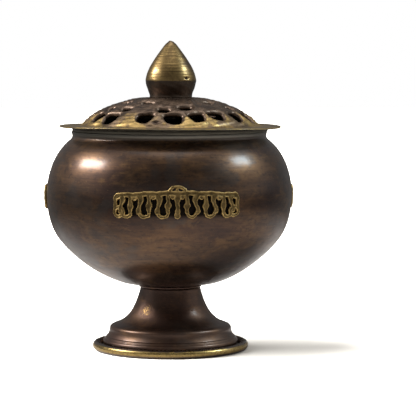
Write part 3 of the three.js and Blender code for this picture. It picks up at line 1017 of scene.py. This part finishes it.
def aged_gold():
    """The finial and the base ring: turned brass, with brown patina on the finial's lower half and round
    the ring's crimped inner edge, and on the ring's underside brown patina with painted shade."""
    paint = Paint("aged_gold", Metallic=1.0, Coat_Weight=0.15, Coat_Roughness=0.2)
    radius = paint.radius()
    z = paint.height()
    tarnish = paint.noise(4.5, 6, twist=0.8)
    lines = paint.noise(0.45, 3, stretch=(0.03, 0.03, 1))
    fine = paint.noise(0.9, 4)
    gold = paint.mix(paint.span(tarnish, 0.36, 0.66), AGED_GOLD, AGED_DULL)
    gold = paint.mix(paint.span(lines, 0.48, 0.64, 0, 0.65), gold, LATHE_DARK)
    gold = paint.mix(paint.span(fine, 0.58, 0.7, 0, 0.5), gold, SPECK_DARK)
    ring_gold = paint.mix(paint.span(fine, 0.45, 0.7), RING_GOLD, RING_DULL)
    on_ring = paint.span(z, 10 * MM, 11 * MM, 1, 0)
    gold = paint.mix(on_ring, gold, ring_gold)
    # Where the finial is dark: below its widest line, which is ragged, at its tip, in the pit and in
    # a stain on its right
    ragged = paint.math("ADD", z, paint.math("MULTIPLY", paint.math("SUBTRACT", tarnish, 0.5), 1.4 * MM))
    on_finial = paint.span(z, 60 * MM, 61 * MM)
    lower_half = paint.math("MULTIPLY", on_finial, paint.span(ragged, 99.2 * MM, 99.5 * MM, 1, 0))
    tip = paint.span(z, 111.5 * MM, 113.4 * MM, 0, 0.55)
    pit = paint.span(paint.near(from_axis(PIT_BEARING, 9.2, PIT_Z), 1.1), 0.3, 0.6)
    stained = paint.span(tarnish, 0.42, 0.55, 0, 0.8)
    stain = paint.math("MULTIPLY", paint.near(from_axis(72, 7, 105.5), 7), stained)
    # Where the ring is dark: underneath, with brown patina and painted shade on the bead's lower half,
    # where the sheet is rolled over, and within
    under = paint.span(z, 0.75 * MM, 1.15 * MM, 1, 0)
    rolled = paint.span(ragged, 2.6 * MM, 2.9 * MM)
    within = paint.span(radius, 27.2 * MM, 27.9 * MM, 1, 0)
    ring_dark = paint.math("MULTIPLY", on_ring, paint.largest(under, rolled, within))
    brown = paint.mix(on_ring, FINIAL_BROWN, RING_BROWN)
    paint.set("Base Color", paint.mix(paint.largest(lower_half, ring_dark, tip, pit, stain), gold, brown))
    rough = paint.span(tarnish, 0.3, 0.7, 0.3, 0.44)
    paint.set("Roughness", paint.math("SUBTRACT", rough, paint.math("MULTIPLY", on_ring, 0.07)))
    paint.bump((lines, 0.012), (paint.noise(1.6, 4), 0.02))
    return paint.material


def cast_olive():
    """The plaques: dull olive castings, bright along the edges of their faces."""
    paint = Paint("cast_olive", Metallic=1.0, Coat_Weight=0.1, Coat_Roughness=0.3)
    blotch = paint.noise(2.2, 5)
    speck = paint.noise(0.6, 4)
    marks = paint.attribute("crest")
    base = paint.mix(paint.span(blotch, 0.35, 0.65), OLIVE_DARK, OLIVE_LIGHT)
    base = paint.mix(paint.span(speck, 0.56, 0.7, 0, 0.6), base, OLIVE_SPECK)
    rubbed = paint.math("MULTIPLY", paint.span(marks, 0, 1), paint.span(blotch, 0.3, 0.5, 0.3, 1))
    base = paint.mix(rubbed, base, OLIVE_RUBBED)
    paint.set("Base Color", base)
    paint.set("Roughness", paint.span(blotch, 0.3, 0.7, 0.38, 0.5))
    paint.bump((speck, 0.03), (blotch, 0.06))
    return paint.material


def raw_brass():
    """The charcoal cup and the locating ring: spun brass stained by soot, grey at the cup's rim."""
    paint = Paint("raw_brass", Metallic=1.0)
    soot = paint.noise(9, 5, twist=0.5)
    spun = paint.noise(0.8, 3, stretch=(0.02, 0.02, 1))
    base = paint.mix(paint.span(soot, 0.35, 0.7), SPUN_BRASS, SOOTY_BRASS)
    handled = paint.span(paint.radius(), 35.0 * MM, 35.6 * MM, 0, 0.95)
    base = paint.mix(handled, base, NECK_GREY)
    paint.set("Base Color", base)
    paint.set("Roughness", paint.span(soot, 0.3, 0.7, 0.34, 0.55))
    paint.bump((spun, 0.02))
    return paint.material


def fastener_steel():
    """Bolt, screw, nut and washers: plain steel, faintly blotched."""
    paint = Paint("fastener_steel", Metallic=1.0)
    blotch = paint.noise(2.5, 5)
    paint.set("Base Color", paint.mix(paint.span(blotch, 0.3, 0.75), STEEL_LIGHT, STEEL_DARK))
    paint.set("Roughness", paint.span(blotch, 0.3, 0.7, 0.3, 0.5))
    paint.bump((paint.noise(0.4, 3), 0.01))
    return paint.material


# ---------------------------------------------------------------- studio


def around(degrees_from_front, distance, height):
    """A place round the object in millimetres, by its bearing from the camera's side, to the right."""
    angle = CAMERA_BEARING + math.radians(degrees_from_front)
    return Vector((distance * math.cos(angle), distance * math.sin(angle), height)) * MM


def aimed(obj, place, target):
    obj.location = place
    obj.rotation_euler = (target - place).to_track_quat("-Z", "Y").to_euler()
    bpy.context.scene.collection.objects.link(obj)
    return obj


def make_camera():
    data = bpy.data.cameras.new("camera")
    data.lens = CAMERA_LENS
    data.sensor_width = SENSOR
    data.clip_start = 0.01
    data.clip_end = 50
    camera = bpy.data.objects.new("camera", data)
    right = Vector((-math.sin(CAMERA_BEARING), math.cos(CAMERA_BEARING), 0))
    target = right * AIM_RIGHT * MM + Vector((0, 0, AIM_HEIGHT * MM))
    aimed(camera, around(0, CAMERA_DISTANCE, CAMERA_HEIGHT), target)
    bpy.context.scene.camera = camera


def make_soft_box(name, bearing, elevation, size, roll, radiance, tint):
    """An area light aimed at the bowl, seen in the metal only. Angles are in degrees: where it stands
    round the object and above the bowl, and its turn about its own axis. radiance is how bright its
    face is."""
    distance = 620
    bowl_height = 60
    data = bpy.data.lights.new(name, "AREA")
    data.shape = "RECTANGLE"
    data.size = size[0] * MM
    data.size_y = size[1] * MM
    data.color = tint
    data.energy = radiance * math.pi * data.size * data.size_y
    light = bpy.data.objects.new(name, data)
    light.visible_diffuse = False
    tilt = math.radians(elevation)
    place = around(bearing, distance * math.cos(tilt), bowl_height + distance * math.sin(tilt))
    aimed(light, place, Vector((0, 0, bowl_height)) * MM)
    light.rotation_euler.rotate_axis("Z", math.radians(roll))


def make_sun():
    """What lights the floor and casts the shadow. The metal mirrors the soft boxes in its place."""
    data = bpy.data.lights.new("sun", "SUN")
    data.angle = math.radians(SUN_SPREAD)
    data.energy = SUN_LEVEL
    light = bpy.data.objects.new("sun", data)
    light.visible_glossy = False
    aimed(light, around(*SUN_FROM), Vector((0, 0, 0)))


def make_world():
    """A white room as the camera sees it. What the metal mirrors is dimmer towards the front, where
    the photographer's side is dark, dimmest in front and above, and bright straight overhead."""
    world = bpy.data.worlds.new("studio")
    bpy.context.scene.world = world
    world.use_nodes = True
    world.node_tree.nodes.clear()
    room = Nodes(world.node_tree)
    direction = room.node("ShaderNodeTexCoord").outputs["Generated"]
    front = (math.cos(CAMERA_BEARING), math.sin(CAMERA_BEARING), 0)
    ahead = room.node("ShaderNodeVectorMath", {0: direction, 1: front}, operation="DOT_PRODUCT")
    ahead = ahead.outputs["Value"]
    up = room.node("ShaderNodeSeparateXYZ", {"Vector": direction}).outputs["Z"]
    front_level = room.between(room.span(up, 0.1, 0.5), FRONT_LEVEL, FRONT_UPPER_LEVEL)
    level = room.between(room.span(ahead, -0.35, 0.75), BACK_LEVEL, front_level)
    aside = room.span(room.math("ABSOLUTE", ahead), 0.1, 0.65, SIDE_LEVEL, 0)
    level = room.math("ADD", level, room.math("MULTIPLY", aside, room.span(up, -0.02, 0.1)))
    level = room.between(room.span(up, 0.86, 0.97), level, OVERHEAD_LEVEL)

    def background(strength):
        return room.node("ShaderNodeBackground", {"Color": (1, 1, 1), "Strength": strength}).outputs[0]

    rays = room.node("ShaderNodeLightPath").outputs
    choice = {0: rays["Is Diffuse Ray"], 1: background(level), 2: background(ROOM_LEVEL)}
    lighting = room.node("ShaderNodeMixShader", choice).outputs[0]
    choice = {0: rays["Is Camera Ray"], 1: lighting, 2: background(1.0)}
    room.node("ShaderNodeOutputWorld", {"Surface": room.node("ShaderNodeMixShader", choice).outputs[0]})


def make_floor():
    """White paper. It is burnt out in the picture, but the metal mirrors it dimmer, and dimmer still
    away from a place beside the foot."""
    half = PAPER_HALF
    corners = [(-half, -half, 0), (half, -half, 0), (half, half, 0), (-half, half, 0)]
    mesh = bpy.data.meshes.new("floor")
    mesh.from_pydata(corners, [], [(0, 1, 2, 3)])
    floor = bpy.data.objects.new("floor", mesh)
    bpy.context.scene.collection.objects.link(floor)
    material = bpy.data.materials.new("floor_white")
    material.use_nodes = True
    material.node_tree.nodes.clear()
    paper = Nodes(material.node_tree)
    far = paper.distance(paper.node("ShaderNodeTexCoord").outputs["Object"], around(*PAPER_SPOT))
    fading = paper.mix(paper.span(far, PAPER_FROM, PAPER_TO), PAPER_NEAR, PAPER_FAR)
    choice = {
        0: paper.node("ShaderNodeLightPath").outputs["Is Camera Ray"],
        1: paper.node("ShaderNodeBsdfDiffuse", {"Color": fading}).outputs[0],
        2: paper.node("ShaderNodeBsdfDiffuse", {"Color": PAPER_SEEN}).outputs[0],
    }
    either = paper.node("ShaderNodeMixShader", choice).outputs[0]
    paper.node("ShaderNodeOutputMaterial", {"Surface": either})
    mesh.materials.append(material)


# ---------------------------------------------------------------- assembly


def fit(piece, body, node, material):
    """The fine piece stands for a node of the frame, and moves with its body."""
    piece.data.materials.append(material)
    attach(piece, body)
    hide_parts(node)


make_camera()
make_world()
make_soft_box("key", -90, elevation=33.2, size=(275, 102), roll=20, radiance=29, tint=(1, 1, 1))
make_soft_box("fill", 87, elevation=38.5, size=(172, 108), roll=-20, radiance=19.5, tint=(0.76, 0.92, 1))
make_sun()
make_floor()

brown = brown_patina("brown_patina", coat=0.58, smooth=0.33, lightening=0.0)
foot_brown = brown_patina("foot_patina", coat=0.3, smooth=0.36, lightening=0.3)
gold = aged_gold()
olive = cast_olive()
brass = raw_brass()
steel = fastener_steel()

fit(make_bowl(), "vessel", "bowl", brown)
fit(make_foot(), "vessel", "foot", foot_brown)
fit(make_joint_collar(), "vessel", "joint_collar", foot_brown)
fit(make_base_ring(), "vessel", "base_ring", gold)
for name, bearing in PLAQUE_BEARINGS.items():
    fit(make_plaque(name + "_fine", bearing), "vessel", name, olive)

fit(make_charcoal_cup(), "liner", "charcoal_cup", brass)

fit(make_pierced_cover(), "cover", "pierced_cover", cover_patina())
fit(make_locating_ring(), "cover", "locating_ring", brass)
fit(make_finial(), "cover", "finial", gold)

bolt = slotted_screw(
    "centre_bolt_fine", BOLT_RADIUS, BOLT_HEAD_RADIUS, BOLT_END_Z, BOLT_SEAT_Z, head_height=2.6, slot=1.1
)
screw = slotted_screw(
    "finial_screw_fine", SCREW_RADIUS, SCREW_HEAD_RADIUS, SCREW_END_Z, SCREW_SEAT_Z, head_height=2, slot=0.9
)
bowl_washer = make_washer("bowl_washer_fine", WASHER_RADIUS, BOLT_HOLE_RADIUS, BOWL_WASHER_Z)
foot_washer = make_washer("foot_washer_fine", WASHER_RADIUS, BOLT_HOLE_RADIUS, FOOT_WASHER_Z)
screw_washer = make_washer("finial_washer_fine", SCREW_WASHER_RADIUS, SCREW_HOLE_RADIUS, SCREW_WASHER_Z)
nut = make_nut("centre_nut_fine", NUT_RADIUS, NUT_Z, NUT_HEIGHT, BOLT_HOLE_RADIUS)
fit(bolt, "vessel", "centre_bolt", steel)
fit(bowl_washer, "vessel", "bowl_washer", steel)
fit(foot_washer, "vessel", "foot_washer", steel)
fit(nut, "vessel", "centre_nut", steel)
fit(screw, "cover", "finial_screw", steel)
fit(screw_washer, "cover", "finial_washer", steel)

bpy.context.scene.view_settings.view_transform = "Standard"
bpy.context.scene.view_settings.look = "None"

bpy.context.view_layer.update()
